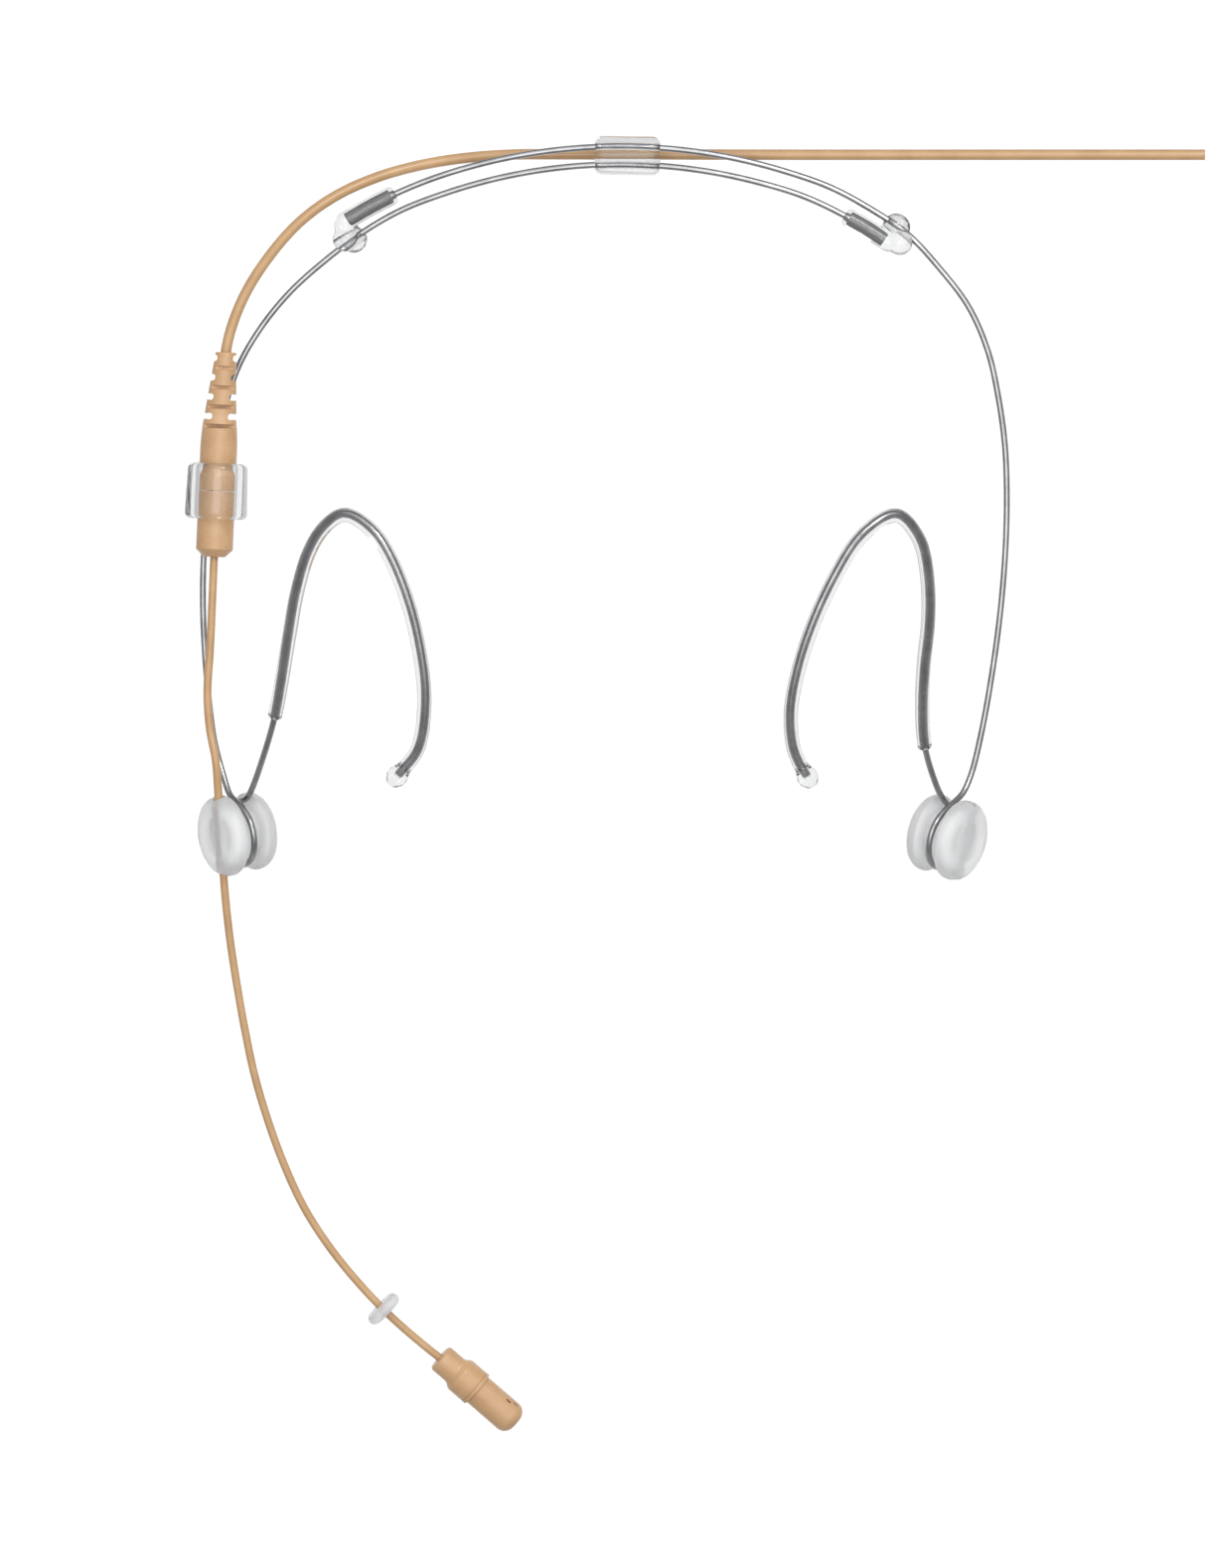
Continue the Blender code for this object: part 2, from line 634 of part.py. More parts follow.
def connector(holder_body, plug_body):
    """The in-line connector, with heights from the bottom of the plug."""

    def turned(name, finish, rows, body, sides=20):
        return add_object(name, spin(rows, sides), finish, CONNECTOR_AT, CONNECTOR_AXIS, body)

    entry, bore = 0.9 * MM, 1.95 * MM
    shell = [(entry, 0), (1.7 * MM, 0), (2.45 * MM, 0.45 * MM), (PLUG_R, 1.3 * MM), (PLUG_R, PLUG_STEP)]
    shell += [(SLEEVE_R, PLUG_STEP + 0.1 * MM), (SLEEVE_R, PARTING), (bore, PARTING)]
    shell += [(bore, 2.2 * MM), (entry, 2.2 * MM)]
    turned("plug_shell", "tan_plastic", shell, plug_body)
    insulator("plug_insulator", 6.0 * MM, 7.6 * MM, 0.28 * MM, plug_body)
    insulator("socket_insulator", 10.7 * MM, 13.0 * MM, 0.5 * MM, holder_body)
    for k, offset in enumerate(contact_places()):
        at = CONNECTOR_AT + offset
        pin = rod(0.2 * MM, 5.0 * MM, 12.3 * MM, 8)
        add_object(f"plug_pin_{k + 1}", pin, "contact_brass", at, CONNECTOR_AXIS, plug_body)
        contact = tube(0.42 * MM, 0.28 * MM, 10.8 * MM, 15.0 * MM, 8)
        add_object(f"socket_contact_{k + 1}", contact, "contact_brass", at, CONNECTOR_AXIS, holder_body)
    seal = [(1.45 * MM, 9.2 * MM), (1.7 * MM, 9.0 * MM), (1.8 * MM, 9.3 * MM), (1.7 * MM, 9.6 * MM)]
    turned("connector_seal", "screen_black", seal, plug_body, 16)

    nose = PARTING + SMALL_GAP
    socket = [(SLEEVE_R, nose), (SLEEVE_R, SOCKET_TOP - 0.5 * MM), (2.35 * MM, SOCKET_TOP)]
    socket += [(1.7 * MM, SOCKET_TOP), (1.7 * MM, 18.0 * MM), (1.25 * MM, 18.0 * MM)]
    socket += [(1.25 * MM, 13.2 * MM), (1.9 * MM, 13.2 * MM), (1.9 * MM, nose)]
    turned("socket_shell", "tan_plastic", socket, holder_body)
    strain_relief(holder_body)
    holder(holder_body)


def strain_relief(body):
    """The tapered boot over the cable, slotted from its sides and from front and back by turns."""
    bore, cable_bore = 1.85 * MM, CABLE_R + 0.22 * MM
    outer = [(2.88, 13.95), (2.9, 17.0), (2.75, 20.0), (2.35, 24.2), (2.0, 27.2), (1.72, 29.8), (1.55, 31.8)]
    rows = [(radius * MM, height * MM) for radius, height in outer]
    rows += [(cable_bore, RELIEF_TOP), (cable_bore, 18.3 * MM), (bore, 18.3 * MM), (bore, RELIEF_BOTTOM)]
    bm = spin(rows, 20)
    for vert in bm.verts:
        share = max(0.0, (vert.co.z - PARTING * 2) / (RELIEF_TOP - PARTING * 2))
        lean = CONNECTOR_AXIS.to_track_quat("Z", "Y").inverted() @ Vector((RELIEF_LEAN * share**2, 0, 0))
        vert.co += lean
    made = add_object("strain_relief", bm, "tan_plastic", CONNECTOR_AT, CONNECTOR_AXIS, body)
    web, far = 1.3 * MM, 4.0 * MM
    slots = []
    for k in range(4):
        side_z, front_z = (21.9 + 3.03 * k) * MM, (20.4 + 3.03 * k) * MM
        for low, high in ((-far, -web), (web, far)):
            slots.append(((low, -far, side_z - 0.5 * MM), (high, far, side_z + 0.5 * MM)))
            slots.append(((-far, low, front_z - 0.3 * MM), (far, high, front_z + 0.3 * MM)))
    cut(made, "relief_slots", boxes(slots), CONNECTOR_AT, CONNECTOR_AXIS)


def holder(body):
    """The clear ring that holds the connector, with a lobe behind it for the spring wire."""
    low, high = HOLDER_SPAN
    edge = 0.8 * MM
    down = CONNECTOR_AXIS.to_track_quat("Z", "Y").inverted() @ Vector((-0.15, 0, -1))
    lobe_at = math.atan2(down.y, down.x)
    rings = []
    for height, inset in ((low, edge), (low + edge, 0), (high - edge, 0), (high, edge)):
        ring = []
        for k in range(32):
            angle = FULL_TURN * k / 32
            away = math.remainder(angle - lobe_at, FULL_TURN)
            lobe = HOLDER_LOBE * math.cos(min(abs(away) * 1.6, math.pi / 2)) ** 2
            radius = HOLDER_R + lobe - inset
            ring.append(Vector((radius * math.cos(angle), radius * math.sin(angle), height)))
        rings.append(ring)
    made = add_object("connector_holder", loft(rings), "clear_silicone", CONNECTOR_AT, CONNECTOR_AXIS, body)
    cut(made, "holder_bore", rod(HOLDER_BORE_R, low - MM, high + MM, 24), CONNECTOR_AT, CONNECTOR_AXIS)
    middle = CONNECTOR_AT + CONNECTOR_AXIS * (low + high) / 2
    wire = Vector((-59.75 * MM, middle.y, BAND_Z - 0.05 * MM))
    slope = Vector((0.13, 1.0, 0.0)).normalized() * (high - low)
    wire_bore = sweep([wire - slope, wire + slope], 1.2 * MM, 12, squash=0.72)
    cut(made, "holder_wire_bore", wire_bore)


def cable(body):
    line = path(CABLE_PATH)
    add_object("cable_jacket", sweep(line, CABLE_R, 10, CABLE_BORE_R), "tan_jacket", body=body)
    add_object("cable_core", sweep(line, CABLE_CORE_R, 6), "contact_brass", body=body)


# ---------------------------------------------------------------- the whole headset


def main():
    for old in list(bpy.data.objects):
        bpy.data.objects.remove(old, do_unlink=True)

    boom_side = add_empty("boom_side", Vector(), Vector((0, 0, 1)))
    plain_side = add_empty("plain_side", BAND_CENTRE, Vector((0, 0, 1)))
    clip = add_empty("clip", BAND_CENTRE, Vector((0, 0, 1)))
    boom_pad = add_empty("boom_pad", BOOM_PAD_AT, BOOM_PAD_AXIS)
    plain_pad = add_empty("plain_pad", PLAIN_PAD_AT, PLAIN_PAD_AXIS)
    boom_slide = add_empty("boom_slide", BOOM_HOLE_AT, BOOM_AXIS)
    ring_slide = add_empty("ring_slide", RING_AT, RING_AXIS)
    cap_slide = add_empty("cap_slide", MIC_AT, MIC_AXIS)
    connector_slide = add_empty("connector_slide", CONNECTOR_AT, CONNECTOR_AXIS)
    plug_slide = add_empty("plug_slide", CONNECTOR_AT, CONNECTOR_AXIS)

    frame_side(
        "boom_side",
        BOOM_WIRE_BAND,
        BOOM_WIRE_SIDE,
        BOOM_PAD_AT,
        BOOM_PAD_AXIS,
        BOOM_HOOK,
        BOOM_TUBE_START,
        boom_side,
    )
    frame_side(
        "plain_side",
        PLAIN_WIRE_BAND,
        PLAIN_WIRE_SIDE,
        PLAIN_PAD_AT,
        PLAIN_PAD_AXIS,
        PLAIN_HOOK,
        PLAIN_TUBE_START,
        plain_side,
    )
    slider("boom_wire", BOOM_CRIMP, (84.2, 31.0), (86.85, 29.9), boom_side)
    slider("plain_wire", PLAIN_CRIMP, (85.6, -30.4), (84.2, -30.0), plain_side)
    band_clip(clip)
    cheek_pad("boom_side_pad", BOOM_PAD_AT, BOOM_PAD_AXIS, BOOM_AXIS, boom_pad)
    plain_across = (Vector((0, -1, 0)) + PLAIN_PAD_AXIS * PLAIN_PAD_AXIS.y).normalized()
    cheek_pad("plain_side_pad", PLAIN_PAD_AT, PLAIN_PAD_AXIS, plain_across, plain_pad)
    boom(boom_slide)
    lead(boom_side)
    drip_ring(ring_slide)
    microphone(boom_slide, cap_slide)
    connector(connector_slide, plug_slide)
    cable(boom_side)


main()
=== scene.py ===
"""The looks of the headset microphone: fine meshes and materials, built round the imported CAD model.

Every bar follows the centre line of its CAD node, and every turned piece sits on its joint's axis, so places
come from the frame. Sizes below are in metres; MM turns millimetres into metres.
"""

import json
import math

import bmesh
import bpy
from mathutils import Matrix, Vector


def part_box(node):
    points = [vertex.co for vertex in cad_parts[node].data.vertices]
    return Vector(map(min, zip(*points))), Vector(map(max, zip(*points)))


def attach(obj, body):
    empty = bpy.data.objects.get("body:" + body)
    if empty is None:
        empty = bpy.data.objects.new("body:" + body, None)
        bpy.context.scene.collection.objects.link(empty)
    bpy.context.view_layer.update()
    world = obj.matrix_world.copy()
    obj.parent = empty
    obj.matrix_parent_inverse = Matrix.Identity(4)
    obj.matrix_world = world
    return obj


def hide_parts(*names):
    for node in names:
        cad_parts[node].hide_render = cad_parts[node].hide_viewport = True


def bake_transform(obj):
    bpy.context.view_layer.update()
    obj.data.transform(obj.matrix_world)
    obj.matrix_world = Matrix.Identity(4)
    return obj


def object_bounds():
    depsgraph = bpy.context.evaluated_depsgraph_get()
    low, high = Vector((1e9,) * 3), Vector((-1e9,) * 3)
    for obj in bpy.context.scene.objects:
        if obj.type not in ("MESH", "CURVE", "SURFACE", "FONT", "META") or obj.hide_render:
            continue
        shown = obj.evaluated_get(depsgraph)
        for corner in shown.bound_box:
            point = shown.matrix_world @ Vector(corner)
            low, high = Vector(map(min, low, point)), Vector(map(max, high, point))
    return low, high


MM = 0.001
FULL_TURN = 2 * math.pi
UP = Vector((0, 0, 1))

# Bars
WIRE_R = 0.5 * MM
TUBE_R = 1.13 * MM
TUBE_SAG = 0.2 * MM
CRIMP_R = 0.8 * MM
CABLE_R = 0.84 * MM
BOOM_R = 0.65 * MM
NESTED = 0.02 * MM
GRIP = 0.04 * MM

# Sliders and clip
SLIDER_R = 1.52 * MM
CRIMP_BORE_R = 0.53 * MM
BAND_TRAVEL = math.radians(15)
GUIDE_BORE = (1.2 * MM, 0.75 * MM)
MOVED_BORE_R = WIRE_R + 0.12 * MM
CLIP_EDGE = 1.2 * MM
CLIP_TURN = -math.radians(0.8)
CLIP_CABLE_BORE = (1.6 * MM, 0.98 * MM)

# Pads: how far the boom runs from the middle of its pad, and the hole it runs through
BOOM_LAYER = 3.4 * MM
BOOM_HOLE_R = 0.86 * MM

# Lead: the length of each blend, and how far one length runs inside the other
LEAD_OVERLAP = 5 * MM
LEAD_CUT = 0.4

# Connector: the relief's slots and the bend of its tip, then the holder, all up from the bottom of the plug
SLOT_PITCH = 3.03
FIRST_SIDE_SLOT = 21.9
FIRST_FRONT_SLOT = 20.35
BEND_START = 20.4
BEND_LENGTH = 11.4
BEND = 0.5 * MM
HOLDER_LOW = 5.9 * MM
HOLDER_HIGH = 14.6 * MM
HOLDER_R = 4.8 * MM
HOLDER_LOBE = 1.3 * MM
HOLDER_TAPER = 0.12 * MM
HOLDER_EDGE = 0.95 * MM
HOLDER_WIRE_BORE = (1.1 * MM, 0.8 * MM)

SHARP_ANGLE = math.radians(35)

# Camera, floor and sky. The sky's stops are (height from 0 below to 1 above, brightness)
CAMERA_LENS = 500.0
SENSOR = 36.0
VIEW_HEIGHT = 244.6 * MM
VIEW_CENTRE = Vector((1.63, 7.9, 0)) * MM
FLOOR_DROP = 0.25
FLOOR_HALF = 0.3
SKY = ((0.0, 0.65), (0.48, 0.6), (0.53, 0.3), (0.76, 0.5), (0.9, 1.35), (1.0, 1.35))
SKY_TOP = Vector((0.08, 0.3, 0.95)).normalized()

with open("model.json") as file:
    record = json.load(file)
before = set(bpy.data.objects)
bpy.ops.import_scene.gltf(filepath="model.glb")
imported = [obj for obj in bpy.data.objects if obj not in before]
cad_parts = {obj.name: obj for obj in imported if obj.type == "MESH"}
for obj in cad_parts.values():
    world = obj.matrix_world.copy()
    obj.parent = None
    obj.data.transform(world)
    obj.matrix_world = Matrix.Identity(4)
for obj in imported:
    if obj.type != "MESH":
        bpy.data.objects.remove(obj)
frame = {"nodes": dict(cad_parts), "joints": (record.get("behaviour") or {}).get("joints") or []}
cad_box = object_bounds()
joints = {joint["name"]: joint for joint in frame["joints"]}


def axis_of(joint):
    return Vector(joints[joint]["axis"]).normalized()


def pivot_of(joint):
    return Vector(joints[joint]["pos_m"])


# ---------------------------------------------------------------- reading the frame


def welded(node):
    """A node's mesh with its doubled points joined."""
    bm = bmesh.new()
    bm.from_mesh(frame["nodes"][node].data)
    bmesh.ops.remove_doubles(bm, verts=bm.verts, dist=1e-6)
    return bm


def flat_patch(face):
    """The faces that lie flat with face, spreading out from it."""
    found = {face}
    waiting = [face]
    while waiting:
        here = waiting.pop()
        for edge in here.edges:
            for other in edge.link_faces:
                if other not in found and other.normal.dot(face.normal) > 0.99999:
                    found.add(other)
                    waiting.append(other)
    return found


def end_rings(bm):
    """The rings of points round a bar's ends: the flat patches that turn sharply at every border."""
    rings = []
    seen = set()
    for face in bm.faces:
        if face in seen:
            continue
        patch = flat_patch(face)
        seen |= patch
        edges = {edge for part in patch for edge in part.edges}
        borders = [edge for edge in edges if len(patch.intersection(edge.link_faces)) == 1]
        if min(edge.calc_face_angle(0.0) for edge in borders) > 1:
            rings.append({vert for part in patch for vert in part.verts})
    return rings


def mean(verts):
    return sum((vert.co for vert in verts), Vector()) / len(verts)


def centre_line(node, start):
    """The centre of each ring of a bar's CAD mesh, from the end nearest to start."""
    bm = welded(node)
    ring = min(end_rings(bm), key=lambda verts: (mean(verts) - start).length)
    seen = set(ring)
    line = []
    while ring:
        line.append(mean(ring))
        ring = {edge.other_vert(vert) for vert in ring for edge in vert.link_edges} - seen
        seen |= ring
    bm.free()
    return line


def middle(node):
    """The mean of a turned node's points, which lies on its axis."""
    bm = welded(node)
    centre = mean(bm.verts)
    bm.free()
    return centre


def foot(node, axis):
    """The point on a turned node's axis at its lowest end."""
    centre = middle(node)
    low = min((vert.co - centre).dot(axis) for vert in frame["nodes"][node].data.vertices)
    return centre + axis * low


# ---------------------------------------------------------------- lines


def smooth(points, spacing=0.35 * MM):
    """A Catmull-Rom line through points, with its points about spacing apart."""
    ctrl = [points[0] * 2 - points[1], *points, points[-1] * 2 - points[-2]]
    line = []
    for a, b, c, d in zip(ctrl, ctrl[1:], ctrl[2:], ctrl[3:]):
        steps = max(1, round((c - b).length / spacing))
        gaps = [max(math.sqrt((q - p).length), 1e-6) for p, q in ((a, b), (b, c), (c, d))]
        out = ((b - a) / gaps[0] - (c - a) / (gaps[0] + gaps[1]) + (c - b) / gaps[1]) * gaps[1]
        into = ((c - b) / gaps[1] - (d - b) / (gaps[1] + gaps[2]) + (d - c) / gaps[2]) * gaps[1]
        for i in range(steps):
            t = i / steps
            line.append(
                b * (2 * t**3 - 3 * t**2 + 1)
                + out * (t**3 - 2 * t**2 + t)
                + c * (3 * t**2 - 2 * t**3)
                + into * (t**3 - t**2)
            )
    return [*line, points[-1]]


class Line:
    """A smooth line that can be asked for the place and the cross directions at any length along it."""

    def __init__(self, points):
        self.points = points
        self.lengths = [0.0]
        for a, b in zip(points, points[1:]):
            self.lengths.append(self.lengths[-1] + (b - a).length)
        self.length = self.lengths[-1]
        self.frames = []
        side = UP if abs((points[1] - points[0]).normalized().z) < 0.9 else Vector((1, 0, 0))
        for i in range(len(points)):
            along = (points[min(i + 1, len(points) - 1)] - points[max(i - 1, 0)]).normalized()
            side = (side - along * side.dot(along)).normalized()
            self.frames.append((along, side, along.cross(side)))

    def at(self, distance):
        """(point, along, side, across) at that distance; beyond an end the line runs straight on."""
        index = 0
        while index < len(self.lengths) - 2 and self.lengths[index + 1] < distance:
            index += 1
        gap = self.lengths[index + 1] - self.lengths[index]
        share = (distance - self.lengths[index]) / gap
        point = self.points[index].lerp(self.points[index + 1], share)
        share = min(max(share, 0.0), 1.0)
        along = self.frames[index][0].lerp(self.frames[index + 1][0], share).normalized()
        side = self.frames[index][1].lerp(self.frames[index + 1][1], share)
        side = (side - along * side.dot(along)).normalized()
        return point, along, side, along.cross(side)

    def part(self, start, end, spacing=0.5 * MM):
        count = max(2, math.ceil((end - start) / spacing) + 1)
        return [self.at(start + (end - start) * i / (count - 1))[0] for i in range(count)]

    def distance_to(self, place):
        index = min(range(len(self.points)), key=lambda i: (self.points[i] - place).length)
        return self.lengths[index]


# ---------------------------------------------------------------- meshes


def add_piece(name, bm, finish, body, node=None):
    """A smooth-shaded piece that rides on body and stands for node."""
    bmesh.ops.recalc_face_normals(bm, faces=bm.faces)
    mesh = bpy.data.meshes.new(name)
    bm.to_mesh(mesh)
    bm.free()
    mesh.shade_smooth()
    mesh.set_sharp_from_angle(angle=SHARP_ANGLE)
    mesh.materials.append(finish)
    piece = bpy.data.objects.new(name, mesh)
    bpy.context.scene.collection.objects.link(piece)
    if body:
        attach(piece, body)
    if node:
        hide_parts(node)
    return piece


def ring_points(centre, side, across, radius, sides, squash=1.0):
    turns = [FULL_TURN * k / sides for k in range(sides)]
    return [centre + side * (radius * squash * math.cos(a)) + across * (radius * math.sin(a)) for a in turns]


def skin(rings, closed=False):
    """Faces between each ring of points and the next. closed joins the last ring to the first."""
    bm = bmesh.new()
    loops = [[bm.verts.new(point) for point in ring] for ring in rings]
    pairs = list(zip(loops, loops[1:]))
    if closed:
        pairs.append((loops[-1], loops[0]))
    for low, high in pairs:
        for k in range(len(low)):
            bm.faces.new((low[k - 1], low[k], high[k], high[k - 1]))
    if not closed:
        bm.faces.new(loops[0])
        bm.faces.new(loops[-1])
    return bm


def stations(length, radius, edge, spacing, steps=4):
    """(distance, radius) pairs along a bar whose two ends are rounded by edge."""
    turn = [math.pi / 2 * k / steps for k in range(steps + 1)]
    start = [(edge * (1 - math.cos(a)), radius - edge + edge * math.sin(a)) for a in turn]
    end = [(length - distance, r) for distance, r in reversed(start)]
    count = max(1, math.ceil((length - 2 * edge) / spacing))
    between = [(edge + (length - 2 * edge) * i / count, radius) for i in range(1, count)]
    return [*start, *between, *end]


def bar(line, radius, edge=0.1 * MM, sides=32, spacing=0.8 * MM):
    """A solid round bar along line."""
    rings = []
    for distance, r in stations(line.length, radius, edge, spacing):
        point, _, side, across = line.at(distance)
        rings.append(ring_points(point, side, across, r, sides))
    return skin(rings)


def hose(line, outer, inner, edge=0.12 * MM, sides=48, spacing=0.6 * MM, bore_line=None):
    """A tube along line, with rounded rims. Its bore follows bore_line, if there is one."""
    outside = stations(line.length, outer, edge, spacing)
    inside = [(distance, inner + outer - r) for distance, r in reversed(outside)]
    bore_line = bore_line or line
    rings = []
    for distance, r in outside:
        point, _, side, across = line.at(distance)
        rings.append(ring_points(point, side, across, max(r, inner), sides))
    for distance, r in inside:
        point, _, side, across = bore_line.at(distance * bore_line.length / line.length)
        rings.append(ring_points(point, side, across, min(r, outer), sides))
    return skin(rings, closed=True)


def filleted(outline, steps=5):
    """An outline of (radius, height, fillet) corners in millimetres, rounded at each corner by its fillet."""
    points = []
    for i, corner in enumerate(outline):
        here = Vector(corner[:2])
        size = corner[2]
        before = (Vector(outline[i - 1][:2]) - here).normalized()
        after = (Vector(outline[(i + 1) % len(outline)][:2]) - here).normalized()
        half = before.angle(after) / 2 if size else 0
        if not size or half > 1.5:
            points.append(here * MM)
            continue
        reach = size / math.tan(half)
        centre = here + (before + after).normalized() * (size / math.sin(half))
        first, last = here + before * reach - centre, here + after * reach - centre
        for k in range(steps + 1):
            points.append((centre + first.lerp(last, k / steps).normalized() * size) * MM)
    return points


def lathe(outline, at, axis, sides=64, steps=5):
    """A turned solid about axis, from the corners of its half section."""
    profile = filleted(outline, steps)
    bm = bmesh.new()
    verts = [bm.verts.new((max(point.x, 0), 0, point.y)) for point in profile]
    pairs = zip(verts, verts[1:] + verts[:1])
    edges = [bm.edges.new(pair) for pair in pairs if pair[0].co.x > 0 or pair[1].co.x > 0]
    bmesh.ops.spin(
        bm,
        geom=verts + edges,
        cent=(0, 0, 0),
        axis=(0, 0, 1),
        angle=FULL_TURN,
        steps=sides,
        use_merge=True,
    )
    bmesh.ops.remove_doubles(bm, verts=bm.verts, dist=1e-7)
    bmesh.ops.transform(bm, matrix=placed(at, axis), verts=bm.verts)
    return bm


def placed(at, axis):
    return Matrix.Translation(at) @ axis.to_track_quat("Z", "Y").to_matrix().to_4x4()


def carve(piece, *cutters):
    """Cuts meshes out of piece, and throws them away."""
    for bm in cutters:
        bmesh.ops.recalc_face_normals(bm, faces=bm.faces)
        mesh = bpy.data.meshes.new("cutter")
        bm.to_mesh(mesh)
        bm.free()
        tool = bpy.data.objects.new("cutter", mesh)
        bpy.context.scene.collection.objects.link(tool)
        modifier = piece.modifiers.new("cut", "BOOLEAN")
        modifier.operation = "DIFFERENCE"
        modifier.solver = "EXACT"
        modifier.object = tool
        bpy.context.view_layer.update()
        result = bpy.data.meshes.new_from_object(piece.evaluated_get(bpy.context.evaluated_depsgraph_get()))
        piece.modifiers.clear()
        piece.data = result
        bpy.data.objects.remove(tool)
    piece.data.shade_smooth()
    piece.data.set_sharp_from_angle(angle=SHARP_ANGLE)


# ---------------------------------------------------------------- materials


class Recipe:
    """A Principled material with a few helpers for its nodes."""

    def __init__(self, name, colour, roughness, **sockets):
        self.material = bpy.data.materials.new(name)
        self.material.use_nodes = True
        self.nodes = self.material.node_tree.nodes
        self.links = self.material.node_tree.links
        self.shader = self.nodes["Principled BSDF"]
        self.shader.inputs["Base Color"].default_value = (*colour, 1)
        self.shader.inputs["Roughness"].default_value = roughness
        for key, value in sockets.items():
            self.shader.inputs[key.replace("_", " ").title().replace("Ior", "IOR")].default_value = value
        self.place = self.nodes.new("ShaderNodeTexCoord").outputs["Object"]

    def noise(self, scale, detail=3.0):
        """Noise with features of about scale, in metres."""
        mapping = self.nodes.new("ShaderNodeMapping")
        mapping.inputs["Scale"].default_value = [1 / scale] * 3
        self.links.new(self.place, mapping.inputs["Vector"])
        texture = self.nodes.new("ShaderNodeTexNoise")
        texture.inputs["Scale"].default_value = 1.0
        texture.inputs["Detail"].default_value = detail
        self.links.new(mapping.outputs["Vector"], texture.inputs["Vector"])
        return texture.outputs["Fac"]

    def ramp(self, source, low, high):
        """Colours from low to high as source goes from 0.3 to 0.7."""
        ramp = self.nodes.new("ShaderNodeValToRGB")
        ramp.color_ramp.elements[0].position = 0.3
        ramp.color_ramp.elements[1].position = 0.7
        ramp.color_ramp.elements[0].color = (*low, 1)
        ramp.color_ramp.elements[1].color = (*high, 1)
        self.links.new(source, ramp.inputs["Fac"])
        return ramp.outputs["Color"]

    def spread(self, source, low, high):
        """A number from low to high as source goes from 0.3 to 0.7."""
        node = self.nodes.new("ShaderNodeMapRange")
        for key, value in (("From Min", 0.3), ("From Max", 0.7), ("To Min", low), ("To Max", high)):
            node.inputs[key].default_value = value
        self.links.new(source, node.inputs["Value"])
        return node.outputs["Result"]

    def feed(self, socket, source):
        self.links.new(source, self.shader.inputs[socket])

    def bump(self, source, height):
        """Relief of about height, in metres."""
        node = self.nodes.new("ShaderNodeBump")
        node.inputs["Strength"].default_value = 1.0
        node.inputs["Distance"].default_value = height
        self.links.new(source, node.inputs["Height"])
        self.links.new(node.outputs["Normal"], self.shader.inputs["Normal"])


def spring_steel():
    recipe = Recipe("spring_steel", (0.34, 0.34, 0.35), 0.22, metallic=1.0)
    blotch = recipe.noise(2.5 * MM, 4)
    recipe.feed("Base Color", recipe.ramp(blotch, (0.29, 0.29, 0.3), (0.4, 0.4, 0.41)))
    recipe.feed("Roughness", recipe.spread(recipe.noise(0.8 * MM), 0.18, 0.27))
    recipe.bump(recipe.noise(0.4 * MM, 2), 0.002 * MM)
    return recipe.material


def crimp_steel():
    recipe = Recipe("crimp_steel", (0.24, 0.24, 0.24), 0.6, metallic=0.6)
    grain = recipe.noise(0.3 * MM, 4)
    recipe.feed("Base Color", recipe.ramp(grain, (0.2, 0.2, 0.2), (0.28, 0.28, 0.28)))
    recipe.feed("Roughness", recipe.spread(recipe.noise(0.6 * MM), 0.52, 0.68))
    recipe.bump(grain, 0.003 * MM)
    return recipe.material


def let_lamps_through(recipe, share):
    """Lets that share of a lamp's light straight through to what is behind a clear surface."""
    nodes, links = recipe.nodes, recipe.links
    mixer = nodes.new("ShaderNodeMixShader")
    opening = nodes.new("ShaderNodeBsdfTransparent")
    opening.inputs["Color"].default_value = (share, share, share, 1)
    links.new(nodes.new("ShaderNodeLightPath").outputs["Is Shadow Ray"], mixer.inputs["Fac"])
    links.new(recipe.shader.outputs["BSDF"], mixer.inputs[1])
    links.new(opening.outputs["BSDF"], mixer.inputs[2])
    links.new(mixer.outputs["Shader"], nodes["Material Output"].inputs["Surface"])
    return recipe.material


def clear_silicone():
    recipe = Recipe("clear_silicone", (0.83, 0.835, 0.84), 0.05, transmission_weight=1.0, ior=1.41)
    recipe.feed("Roughness", recipe.spread(recipe.noise(0.9 * MM), 0.02, 0.09))
    recipe.bump(recipe.noise(1.6 * MM, 2), 0.005 * MM)
    return let_lamps_through(recipe, 0.85)


def milky_silicone():
    recipe = Recipe("milky_silicone", (0.83, 0.835, 0.84), 0.34, transmission_weight=0.63, ior=1.41)
    recipe.feed("Base Color", recipe.ramp(recipe.noise(3 * MM), (0.81, 0.815, 0.82), (0.86, 0.865, 0.87)))
    recipe.feed("Roughness", recipe.spread(recipe.noise(1.2 * MM), 0.3, 0.38))
    recipe.bump(recipe.noise(1.8 * MM, 2), 0.006 * MM)
    return let_lamps_through(recipe, 0.4)


def tan_plastic():
    recipe = Recipe("tan_plastic", (0.54, 0.33, 0.175), 0.3)
    tone = recipe.noise(3 * MM, 4)
    recipe.feed("Base Color", recipe.ramp(tone, (0.5, 0.3, 0.15), (0.57, 0.355, 0.19)))
    recipe.feed("Roughness", recipe.spread(recipe.noise(0.7 * MM), 0.25, 0.36))
    recipe.bump(recipe.noise(0.12 * MM, 2), 0.004 * MM)
    return recipe.material


def tan_jacket():
    recipe = Recipe("tan_jacket", (0.48, 0.29, 0.15), 0.3)
    tone = recipe.noise(4 * MM, 3)
    recipe.feed("Base Color", recipe.ramp(tone, (0.46, 0.275, 0.13), (0.54, 0.335, 0.17)))
    recipe.feed("Roughness", recipe.spread(recipe.noise(0.9 * MM), 0.18, 0.26))
    recipe.bump(recipe.noise(0.3 * MM, 2), 0.002 * MM)
    return recipe.material


